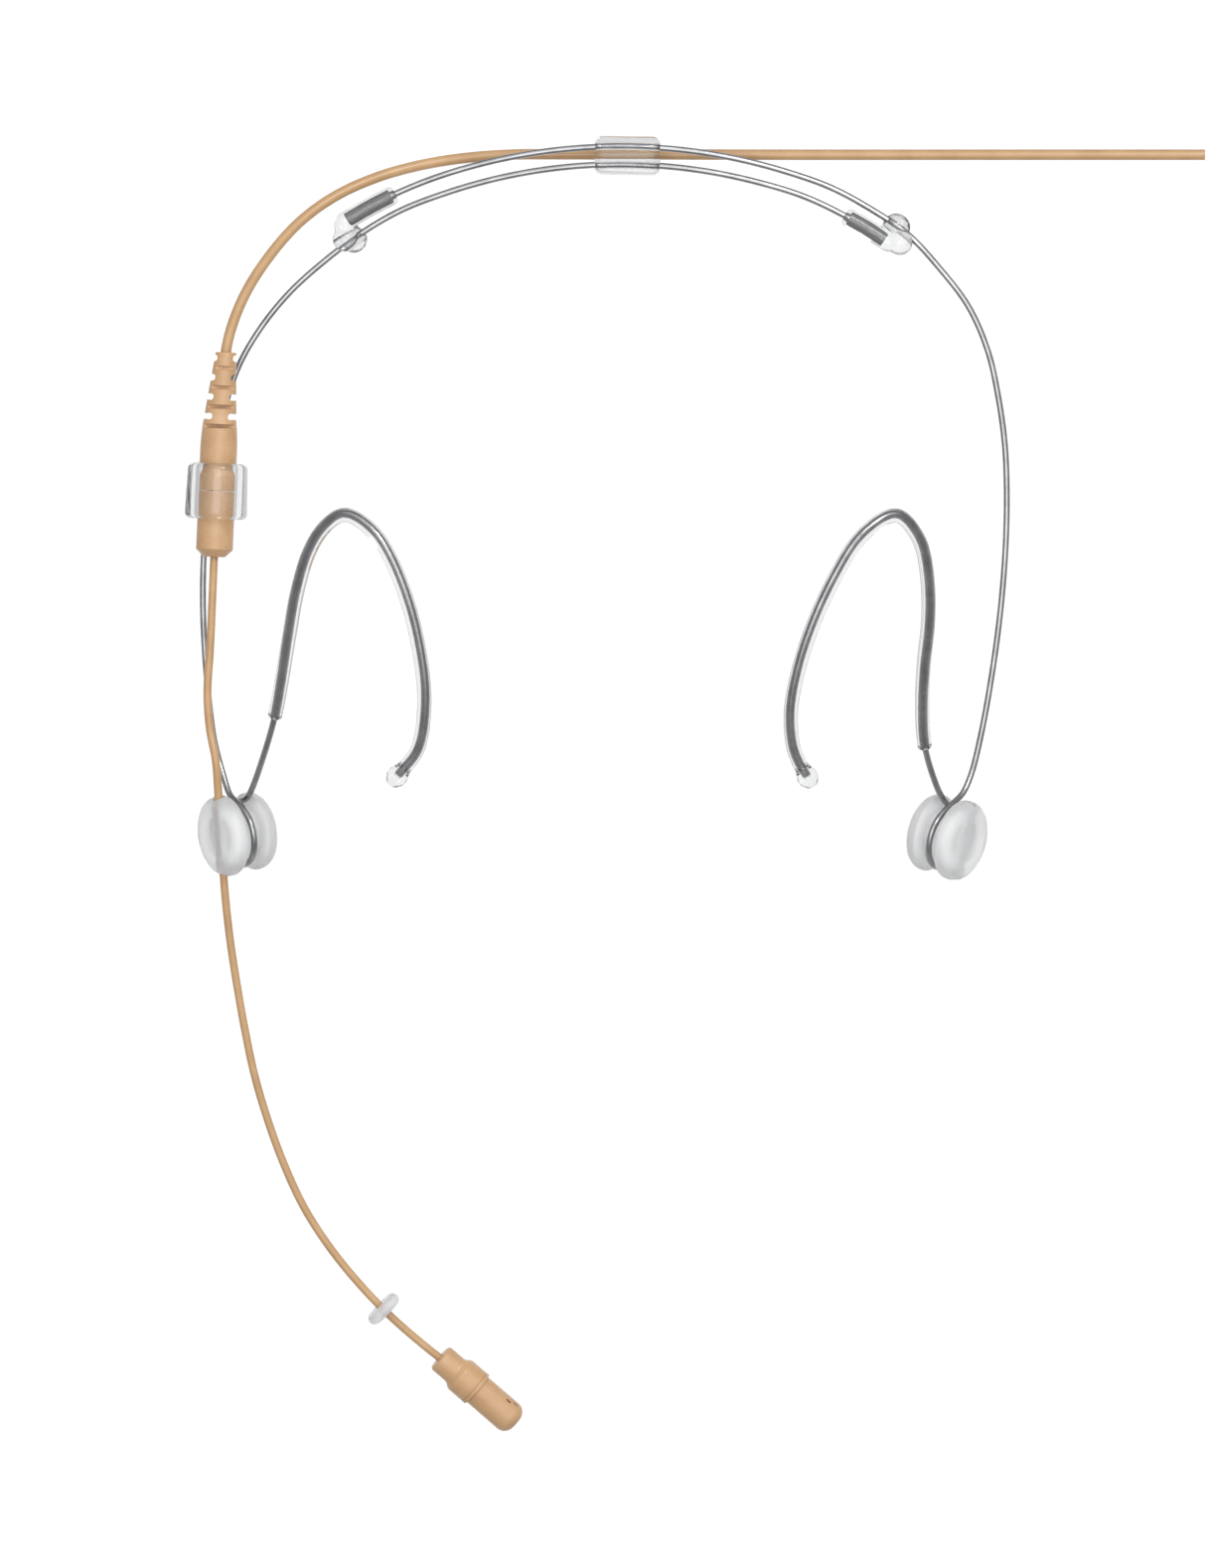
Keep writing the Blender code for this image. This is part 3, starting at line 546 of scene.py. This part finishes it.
def plain_metal(name, low, high, roughness):
    recipe = Recipe(name, low, roughness, metallic=1.0)
    recipe.feed("Base Color", recipe.ramp(recipe.noise(0.8 * MM), low, high))
    recipe.bump(recipe.noise(0.1 * MM), 0.003 * MM)
    return recipe.material


def insulator_white():
    recipe = Recipe("insulator_white", (0.78, 0.77, 0.72), 0.5)
    recipe.feed("Base Color", recipe.ramp(recipe.noise(0.6 * MM), (0.74, 0.73, 0.68), (0.82, 0.81, 0.77)))
    recipe.bump(recipe.noise(0.1 * MM), 0.004 * MM)
    return recipe.material


def black_rubber():
    recipe = Recipe("black_rubber", (0.02, 0.02, 0.02), 0.7)
    recipe.feed("Base Color", recipe.ramp(recipe.noise(0.3 * MM), (0.012, 0.012, 0.012), (0.03, 0.03, 0.03)))
    recipe.bump(recipe.noise(0.1 * MM), 0.01 * MM)
    return recipe.material


STEEL = spring_steel()
CRIMP = crimp_steel()
CLEAR = clear_silicone()
MILKY = milky_silicone()
TAN = tan_plastic()
JACKET = tan_jacket()
BRASS = plain_metal("contact_brass", (0.66, 0.46, 0.16), (0.8, 0.6, 0.26), 0.25)
SILVER = plain_metal("capsule_metal", (0.55, 0.55, 0.55), (0.72, 0.72, 0.72), 0.3)
INSULATOR = insulator_white()
BLACK = black_rubber()


# ---------------------------------------------------------------- frame pieces


class Side:
    """One side of the frame: its wire's line, and the names of its nodes."""

    def __init__(self, prefix):
        self.prefix = prefix
        tip = middle(f"{prefix}_hook_tip")
        self.wire = Line(smooth(centre_line(f"{prefix}_wire", tip)))
        tube_ring = centre_line(f"{prefix}_ear_tube", tip)
        self.tube_far = self.wire.distance_to(tube_ring[0])
        self.tube_start = self.wire.distance_to(tube_ring[-1])
        self.hook_middle = sum(tube_ring, Vector()) / len(tube_ring)

    def build(self):
        prefix = self.prefix
        add_piece(
            f"{prefix}_spring_wire",
            bar(self.wire, WIRE_R, sides=28, spacing=0.5 * MM),
            STEEL,
            prefix,
            f"{prefix}_wire",
        )
        self.tube()
        self.tip()

    def tube(self):
        """The clear tube, sagging a little off the wire towards the inside of the hook."""
        low, high = sorted((self.tube_far, self.tube_start))
        points, bore = [], []
        steps = 160
        for i in range(steps + 1):
            point, along, _, _ = self.wire.at(low + (high - low) * i / steps)
            inwards = self.hook_middle - point
            inwards = (inwards - along * inwards.dot(along)).normalized()
            ease = min(1.0, 5 * i / steps, 5 * (steps - i) / steps)
            points.append(point + inwards * (TUBE_SAG * ease))
            bore.append(point)
        add_piece(
            f"{self.prefix}_clear_tube",
            hose(Line(points), TUBE_R, WIRE_R - GRIP, 0.16 * MM, 48, 0.5 * MM, Line(bore)),
            CLEAR,
            self.prefix,
            f"{self.prefix}_ear_tube",
        )

    def tip(self):
        """The bulb over the wire's end, with a flat on its far side."""
        end, along, _, _ = self.wire.at(0)
        outline = [
            (0.46, -1.7, 0),
            (1.14, -1.7, 0.1),
            (1.3, -1.1, 0.5),
            (1.72, 0.1, 0.9),
            (1.6, 0.9, 0.6),
            (0.97, 1.85, 0.15),
            (0, 1.85, 0),
            (0, 0.25, 0),
            (0.46, 0.25, 0),
        ]
        add_piece(
            f"{self.prefix}_end_bulb",
            lathe(outline, end, -along, 48),
            CLEAR,
            self.prefix,
            f"{self.prefix}_hook_tip",
        )


def build_slider(name, body, own, other, way, shift, trail, guide_size):
    """The clear moulding at the end of one wire, its crimp, and the guide that the other wire runs through.

    way is the sense in which the passing wire turns. shift is how far the bulb lies from the passing wire,
    towards the crimp. trail is how far the guide lies along the passing wire from the bulb, back beside the
    crimp. guide_size is the guide's half sizes in millimetres.
    """
    crimp = Line(smooth(centre_line(f"{name}_crimp", own.wire.at(own.wire.length)[0])))
    add_piece(
        f"{name}_swage",
        hose(crimp, CRIMP_R, CRIMP_BORE_R, 0.14 * MM, 48, 0.4 * MM),
        CRIMP,
        body,
        f"{name}_crimp",
    )
    beyond = crimp.at(-2.0 * MM)[0]
    near = other.wire.distance_to(beyond)
    passing = other.wire.at(near)[0]
    inwards = (beyond - passing).normalized()
    bulb = passing + inwards * shift + UP * 0.3 * MM
    back = (crimp.at(crimp.length)[0] - crimp.at(0)[0]).normalized()
    lobe = passing + back * trail - UP * 0.4 * MM
    mouth = crimp.at(crimp.length + 0.9 * MM)[0]
    barrel = Line(smooth([mouth, *reversed(crimp.points[::6]), crimp.at(-0.5 * MM)[0], bulb]))
    shapes = (
        bar(barrel, SLIDER_R, 0.9 * MM, 40, 0.3 * MM),
        ball(bulb, Vector((2.0, 2.0, 1.9))),
        ball(lobe, guide_size),
    )
    piece = add_piece(f"{name}_moulding", fused(shapes), CLEAR, body, f"{name}_slider")
    pocket = Line(crimp.part(GRIP, crimp.length - GRIP))
    entry = Line([crimp.at(crimp.length - 1 * MM)[0], crimp.at(crimp.length + 3 * MM)[0]])
    slot = Line(other.wire.part(near - 4 * MM, near + 4 * MM))
    turned = Line([turned_band(point, way) for point in other.wire.points])
    near = turned.distance_to(passing)
    moved = Line(turned.part(near - 4 * MM, near + 4 * MM))
    carve(
        piece,
        bar(pocket, CRIMP_R - GRIP, 0.1 * MM, 48, 0.4 * MM),
        bar(entry, WIRE_R - GRIP, 0.05 * MM, 32),
        oval(slot, *GUIDE_BORE),
        oval(moved, MOVED_BORE_R, MOVED_BORE_R),
    )


def turned_band(point, way):
    """Where the band slider's full travel takes a point of one wire, as seen from the other wire."""
    pivot = pivot_of("band_slide")
    return pivot + Matrix.Rotation(way * BAND_TRAVEL, 3, axis_of("band_slide")) @ (point - pivot)


def fused(shapes, grain=0.11 * MM):
    """One smooth skin round overlapping shapes, with their joins rounded off."""
    whole = bpy.data.meshes.new("whole")
    bm = bmesh.new()
    for shape in shapes:
        bmesh.ops.recalc_face_normals(shape, faces=shape.faces)
        shape.to_mesh(whole)
        shape.free()
        bm.from_mesh(whole)
    bm.to_mesh(whole)
    bm.free()
    holder = bpy.data.objects.new("whole", whole)
    bpy.context.scene.collection.objects.link(holder)
    remesh = holder.modifiers.new("fuse", "REMESH")
    remesh.mode = "VOXEL"
    remesh.voxel_size = grain
    soften = holder.modifiers.new("soften", "SMOOTH")
    soften.factor = 0.5
    soften.iterations = 12
    bpy.context.view_layer.update()
    skinned = bpy.data.meshes.new_from_object(holder.evaluated_get(bpy.context.evaluated_depsgraph_get()))
    bpy.data.objects.remove(holder)
    bm = bmesh.new()
    bm.from_mesh(skinned)
    return bm


def ball(at, size):
    """An ellipsoid with these half sizes in millimetres."""
    bm = bmesh.new()
    matrix = Matrix.Translation(at) @ Matrix.Diagonal((*(size * MM), 1))
    bmesh.ops.create_uvsphere(bm, u_segments=56, v_segments=32, radius=1, matrix=matrix)
    return bm


def oval(line, wide, tall, sides=28):
    """A bar along line that is wide across and tall along +Z."""
    rings = []
    for i in range(9):
        point, along, _, _ = line.at(line.length * i / 8)
        up = (UP - along * along.z).normalized()
        rings.append(ring_points(point, up, along.cross(up), wide, sides, tall / wide))
    return skin(rings)


def build_clip():
    """The rounded clear block behind the head."""
    low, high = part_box("band_clip")
    centre, half = (low + high) / 2, (high - low) / 2
    turn = Matrix.Rotation(CLIP_TURN, 3, "Z")
    rings = []
    for x, inset in rounded_steps(half.x, CLIP_EDGE):
        ring = []
        for k in range(64):
            angle = FULL_TURN * k / 64
            y = squared(math.cos(angle)) * (half.y - inset)
            z = squared(math.sin(angle)) * (half.z - inset)
            ring.append(centre + turn @ Vector((x, y, z)))
        rings.append(ring)
    piece = add_piece("band_clip_block", skin(rings), CLEAR, "clip", "band_clip")
    cuts = []
    for side in (boom_side, plain_side):
        near = side.wire.distance_to(centre)
        line = Line(side.wire.part(near - 8 * MM, near + 8 * MM))
        cuts.append(bar(line, WIRE_R + NESTED, 0.1 * MM, 32, 0.5 * MM))
    near = cable_line.distance_to(centre)
    line = Line(cable_line.part(near - 12 * MM, near + 12 * MM))
    cuts.append(oval(line, *CLIP_CABLE_BORE))
    carve(piece, *cuts)


def rounded_steps(half, edge, steps=5):
    """(place, inset) pairs across a block whose two ends are rounded by edge."""
    turn = [math.pi / 2 * k / steps for k in range(steps + 1)]
    start = [(-half + edge * (1 - math.cos(a)), edge * (1 - math.sin(a))) for a in turn]
    return [*start, *[(-x, inset) for x, inset in reversed(start)]]


def squared(value, power=0.6):
    """Pushes a cosine or sine outwards, which turns an ellipse into a rounded box."""
    return math.copysign(abs(value) ** power, value)


# ---------------------------------------------------------------- pads and ring

PAD_OUTLINE = [
    (0, -3.6, 0),
    (3.2, -3.6, 0.5),
    (4.0, -3.9, 0.5),
    (6.1, -3.9, 1.7),
    (6.1, -1.7, 0.4),
    (5.0, -1.35, 0.3),
    (4.2, -1.2, 0.2),
    (4.2, 1.2, 0.2),
    (5.0, 1.35, 0.4),
    (6.35, 2.1, 0.8),
    (6.35, 4.75, 1.8),
    (3.9, 4.75, 0.6),
    (3.1, 4.6, 0.6),
    (0, 4.6, 0),
]


def build_pad(name, body, joint):
    at, axis = pivot_of(joint), axis_of(joint)
    spool = lathe(PAD_OUTLINE, at, axis, 80, 6)
    piece = add_piece(f"{name}_spool", spool, MILKY, body, name)
    if body == "boom_pad":
        across = axis_of("boom_reach")
    else:
        across = (Vector((0, -1, 0)) + axis * axis.y).normalized()
    middle_at = at + axis * BOOM_LAYER
    hole = Line([middle_at - across * 9 * MM, middle_at, middle_at + across * 9 * MM])
    carve(piece, bar(hole, BOOM_HOLE_R, 0.1 * MM, 32, 6 * MM))


def build_ring():
    outline = [(0.9, -0.9, 0.3), (3.02, -0.9, 0.85), (3.02, 0.9, 0.85), (0.9, 0.9, 0.3)]
    bm = lathe(outline, middle("drip_ring"), axis_of("ring_slide"), 64, 6)
    add_piece("drip_ring_disc", bm, MILKY, "ring", "drip_ring")


# ---------------------------------------------------------------- boom, lead and cable


def build_boom():
    bm = bar(boom_line, BOOM_R - NESTED, 0.05 * MM)
    add_piece("boom_jacket", bm, JACKET, "boom", "boom_sheath")


def build_lead():
    """The lead in two telescoping lengths: the upper one runs from inside the plug, and the lower one into
    the pad.
    """
    cut = lead_line.length * LEAD_CUT
    axis = axis_of("plug_pull")
    plug_foot = foot("plug_shell", -axis)
    inside = [plug_foot - axis * depth * MM for depth in (5, 2)]
    upper = Line([*inside, *lead_line.part(2 * MM, cut + LEAD_OVERLAP)])
    bm = bar(upper, BOOM_R - NESTED, 0.05 * MM)
    piece = add_piece("lead_upper", bm, JACKET, None)
    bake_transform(piece)
    hole = pivot_of("boom_swing") + axis_of("boom_swing") * BOOM_LAYER
    out = axis_of("boom_reach")
    lower = Line([*lead_line.part(cut, lead_line.length), hole - out * 4 * MM, hole, hole + out * 5.6 * MM])
    piece = add_piece("lead_lower", bar(lower, BOOM_R, 0.05 * MM), JACKET, None, "boom_lead")
    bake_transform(piece)


def build_cable():
    piece = add_piece(
        "cable_sleeve",
        hose(cable_line, CABLE_R, 0.55 * MM, 0.05 * MM, 28, 0.7 * MM),
        JACKET,
        None,
        "cable_jacket",
    )
    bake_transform(piece)
    piece = add_piece(
        "cable_conductors",
        bar(cable_line, 0.54 * MM, 0.05 * MM, 16, 0.7 * MM),
        BRASS,
        None,
        "cable_core",
    )
    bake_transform(piece)


# ---------------------------------------------------------------- connector


def build_connector():
    axis = -axis_of("connector_slide")
    at = foot("plug_shell", axis)
    plug = [
        (0.75, 0, 0.1),
        (1.7, 0, 0.2),
        (2.9, 1.15, 0.3),
        (2.9, 6.2, 0.15),
        (2.78, 6.32, 0),
        (2.78, 10.2, 0.1),
        (1.95, 10.2, 0),
        (1.95, 2.2, 0),
        (0.75, 2.2, 0),
    ]
    add_piece("plug_body", lathe(plug, at, axis), TAN, "plug", "plug_shell")
    socket = [
        (2.78, 10.28, 0.1),
        (2.78, 12.6, 0.6),
        (2.35, 13.5, 0.3),
        (2.35, 14.1, 0),
        (1.7, 14.1, 0),
        (1.7, 18, 0),
        (1.25, 18, 0),
        (1.25, 13.2, 0),
        (1.9, 13.2, 0),
        (1.9, 10.28, 0),
    ]
    add_piece("socket_body", lathe(socket, at, axis), TAN, "connector", "socket_shell")
    build_relief(at, axis)
    build_holder(at, axis)


def build_relief(at, axis):
    """The cable's tapered boot, with its side and front slots."""
    outline = [
        (1.85, 13.95, 0),
        (2.45, 13.95, 0.25),
        (2.9, 14.35, 0.3),
        (2.9, 17.6, 0.5),
        (2.75, 19.9, 0.3),
        (2.6, 21.2, 0.3),
        (1.62, 31.9, 0.15),
        (1.0, 31.9, 0.1),
        (1.0, 18.3, 0),
        (1.85, 18.3, 0),
    ]
    bm = lathe(outline, Vector(), UP, 64)
    turn = axis.to_track_quat("Z", "Y").inverted()
    for vert in bm.verts:
        share = max(0.0, (vert.co.z / MM - BEND_START) / BEND_LENGTH)
        vert.co += turn @ Vector((BEND * share**2, 0, 0))
    bmesh.ops.transform(bm, matrix=placed(at, axis), verts=bm.verts)
    piece = add_piece("relief_boot", bm, TAN, "connector", "strain_relief")
    cuts = []
    for k in range(4):
        share = (FIRST_SIDE_SLOT - BEND_START + SLOT_PITCH * k) / BEND_LENGTH
        bent = at + Vector((BEND * share**2, 0, 0))
        for way in (-1, 1):
            cuts.append(side_slot(bent, axis, (FIRST_SIDE_SLOT + SLOT_PITCH * k) * MM, way))
            cuts.append(front_slot(bent, axis, (FIRST_FRONT_SLOT + SLOT_PITCH * k) * MM, way))
    carve(piece, *cuts)


def side_slot(at, axis, height, way):
    """A slot cut in from the left or right, with a rounded inner end."""
    across = axis.cross(UP).normalized() * way
    steps = ((1.2, 0.04), (1.23, 0.24), (1.33, 0.4), (1.5, 0.5), (1.75, 0.52), (2.1, 0.46), (5, 0.54))
    return slot_cutter(at + axis * height, axis, across, UP, steps)


def front_slot(at, axis, height, way):
    """A shallower slot cut in from the front or back, as wide as the boot."""
    out = UP * way
    across = axis.cross(out).normalized()
    steps = ((1.26, 0.16), (1.32, 0.26), (1.5, 0.3), (5, 0.34))
    return slot_cutter(at + axis * height, axis, out, across, steps)


def slot_cutter(at, axis, inwards, across, steps):
    """A cutter 8 mm long across the boot. Each step is (depth, half height) in millimetres."""
    rings = []
    for depth, half in steps:
        ring = []
        for side, along in ((-1, -1), (1, -1), (1, 1), (-1, 1)):
            ring.append(at + (axis * along * half + inwards * depth + across * side * 4) * MM)
        rings.append(ring)
    return skin(rings)


def build_holder(at, axis):
    """The clear ring round the connector, with a lobe behind it for the wire."""
    half = (HOLDER_HIGH - HOLDER_LOW) / 2
    centre = at + axis * (HOLDER_LOW + half)
    down = -UP
    across = axis.cross(UP).normalized()
    rings = []
    for height, inset in rounded_steps(half, HOLDER_EDGE):
        ring = []
        for k in range(96):
            angle = FULL_TURN * k / 96
            off_lobe = min(abs(math.remainder(angle, FULL_TURN)) * 1.6, math.pi / 2)
            radius = HOLDER_R + HOLDER_LOBE * math.cos(off_lobe) ** 2 - inset - HOLDER_TAPER * (height / half)
            outwards = down * math.cos(angle) + across * math.sin(angle)
            ring.append(centre + axis * height + outwards * radius)
        rings.append(ring)
    piece = add_piece("holder_ring", skin(rings), CLEAR, "connector", "connector_holder")
    bore = [(0, -6, 0), (2.94, -6, 0), (2.94, 6, 0), (0, 6, 0)]
    near = boom_side.wire.distance_to(centre + down * 4.2 * MM)
    wire = Line(boom_side.wire.part(near - 10 * MM, near + 10 * MM))
    carve(piece, lathe(bore, centre, axis, 64), oval(wire, *HOLDER_WIRE_BORE))


# ---------------------------------------------------------------- capsule


def build_microphone():
    axis = axis_of("cap_pull")
    at = foot("mic_boot", axis)
    boot = [
        (0.68, 0, 0.1),
        (2.28, 0, 0.5),
        (2.28, 3.25, 0.9),
        (2.92, 4.15, 0.9),
        (2.92, 7.0, 0.04),
        (2.82, 7.07, 0),
        (2.94, 7.14, 0.04),
        (2.95, 7.72, 0.1),
        (2.72, 7.72, 0.05),
        (2.72, 5.8, 0),
        (2.3, 5.8, 0),
        (2.3, 4.3, 0),
        (0.68, 2.4, 0),
    ]
    add_piece("boot_shell", lathe(boot, at, axis, 72), TAN, "boom", "mic_boot")
    cap = [
        (2.56, 6.1, 0),
        (2.6, 15.75, 1.7),
        (0, 15.95, 0),
        (0, 15.4, 0),
        (1.8, 14.95, 0.6),
        (2.24, 14.2, 0.4),
        (2.24, 6.1, 0),
    ]
    piece = add_piece("cap_shell", lathe(cap, at, axis, 72), TAN, "cap", "mic_cap")
    out = UP.cross(axis).normalized()
    cuts = []
    for height, tilt in ((12.7, 0.75), (13.85, 0.55)):
        start = at + axis * height * MM
        way = (out * math.cos(tilt) + UP * math.sin(tilt)).normalized()
        ends = (start + way * 1.4 * MM, start + way * 4 * MM)
        cuts.append(skin([ring_points(end, axis, way.cross(axis), 0.24 * MM, 20, 2.1) for end in ends]))
    carve(piece, *cuts)


# ---------------------------------------------------------------- stage


def build_stage():
    """A pale floor well below the headset, soft lights, and a camera straight above."""
    build_floor()
    add_light("key", (0.25, 0.5, 0.8), 0.25, 2.0)
    add_light("overhead", (-0.06, 0.03, 0.9), 0.5, 1.2)
    build_sky()
    build_camera()


def build_floor():
    low, _ = cad_box
    floor_mesh = bpy.data.meshes.new("floor")
    bm = bmesh.new()
    bmesh.ops.create_grid(bm, x_segments=1, y_segments=1, size=FLOOR_HALF)
    bm.to_mesh(floor_mesh)
    bm.free()
    floor = bpy.data.objects.new("floor", floor_mesh)
    floor.location = VIEW_CENTRE + UP * (low[2] - FLOOR_DROP)
    bpy.context.scene.collection.objects.link(floor)
    floor_mesh.materials.append(Recipe("floor_paint", (0.94, 0.94, 0.94), 0.9).material)


def build_sky():
    """A sky with a dark horizon for reflections, and plain white behind the headset."""
    world = bpy.data.worlds.new("studio")
    world.use_nodes = True
    nodes, links = world.node_tree.nodes, world.node_tree.links
    direction = nodes.new("ShaderNodeTexCoord")
    height_of = nodes.new("ShaderNodeVectorMath")
    height_of.operation = "DOT_PRODUCT"
    height_of.inputs[1].default_value = SKY_TOP
    ramp = nodes.new("ShaderNodeValToRGB")
    stops = ramp.color_ramp.elements
    for height, _ in SKY[1:-1]:
        stops.new(height)
    for stop, (height, glow) in zip(stops, SKY):
        stop.position = height
        stop.color = (glow, glow, glow, 1)
    level = nodes.new("ShaderNodeMapRange")
    level.inputs["From Min"].default_value = -1.0
    links.new(direction.outputs["Generated"], height_of.inputs[0])
    links.new(height_of.outputs["Value"], level.inputs["Value"])
    links.new(level.outputs["Result"], ramp.inputs["Fac"])
    links.new(ramp.outputs["Color"], nodes["Background"].inputs["Color"])
    backdrop = nodes.new("ShaderNodeBackground")
    mixer = nodes.new("ShaderNodeMixShader")
    links.new(nodes.new("ShaderNodeLightPath").outputs["Is Camera Ray"], mixer.inputs["Fac"])
    links.new(nodes["Background"].outputs["Background"], mixer.inputs[1])
    links.new(backdrop.outputs["Background"], mixer.inputs[2])
    links.new(mixer.outputs["Shader"], nodes["World Output"].inputs["Surface"])
    bpy.context.scene.world = world


def build_camera():
    bpy.context.scene.view_settings.view_transform = "Standard"
    camera_data = bpy.data.cameras.new("camera")
    camera_data.lens = CAMERA_LENS
    camera_data.sensor_width = SENSOR
    camera_data.clip_end = 20
    camera = bpy.data.objects.new("camera", camera_data)
    camera.location = VIEW_CENTRE + UP * (CAMERA_LENS / SENSOR * VIEW_HEIGHT)
    bpy.context.scene.collection.objects.link(camera)
    bpy.context.scene.camera = camera


def add_light(name, place, size, power):
    data = bpy.data.lights.new(name, "AREA")
    data.shape = "SQUARE"
    data.size = size
    data.energy = power
    light = bpy.data.objects.new(name, data)
    light.location = place
    light.rotation_euler = (-Vector(place)).to_track_quat("-Z", "Y").to_euler()
    light.visible_camera = False
    bpy.context.scene.collection.objects.link(light)


# ---------------------------------------------------------------- the whole headset

boom_side = Side("boom_side")
plain_side = Side("plain_side")
boom_line = Line(smooth(centre_line("boom_sheath", pivot_of("boom_swing"))))
lead_line = Line(smooth(centre_line("boom_lead", foot("plug_shell", -axis_of("plug_pull")))))
cable_line = Line(smooth(centre_line("cable_jacket", middle("plug_shell"))))

boom_side.build()
plain_side.build()
boom_guide, plain_guide = Vector((2.2, 2.2, 1.8)), Vector((2.1, 2.1, 1.6))
build_slider("boom_wire", "boom_side", boom_side, plain_side, 1, 1.75 * MM, 2.1 * MM, boom_guide)
build_slider("plain_wire", "plain_side", plain_side, boom_side, -1, 0.7 * MM, 1.0 * MM, plain_guide)
build_clip()
build_pad("boom_side_pad", "boom_pad", "boom_swing")
build_pad("plain_side_pad", "plain_pad", "plain_pad_spin")
build_ring()
build_boom()
build_lead()
build_cable()
build_connector()
build_microphone()
for node, finish in {
    "boom_core_wire": STEEL,
    "capsule_can": SILVER,
    "capsule_diaphragm": SILVER,
    "capsule_backplate": BRASS,
    "capsule_board": INSULATOR,
    "cap_screen": BLACK,
    "plug_insulator": INSULATOR,
    "socket_insulator": INSULATOR,
    "connector_seal": BLACK,
    **{f"plug_pin_{k}": BRASS for k in (1, 2, 3)},
    **{f"socket_contact_{k}": BRASS for k in (1, 2, 3)},
}.items():
    frame["nodes"][node].material_slots[0].material = finish
build_stage()

bpy.context.view_layer.update()
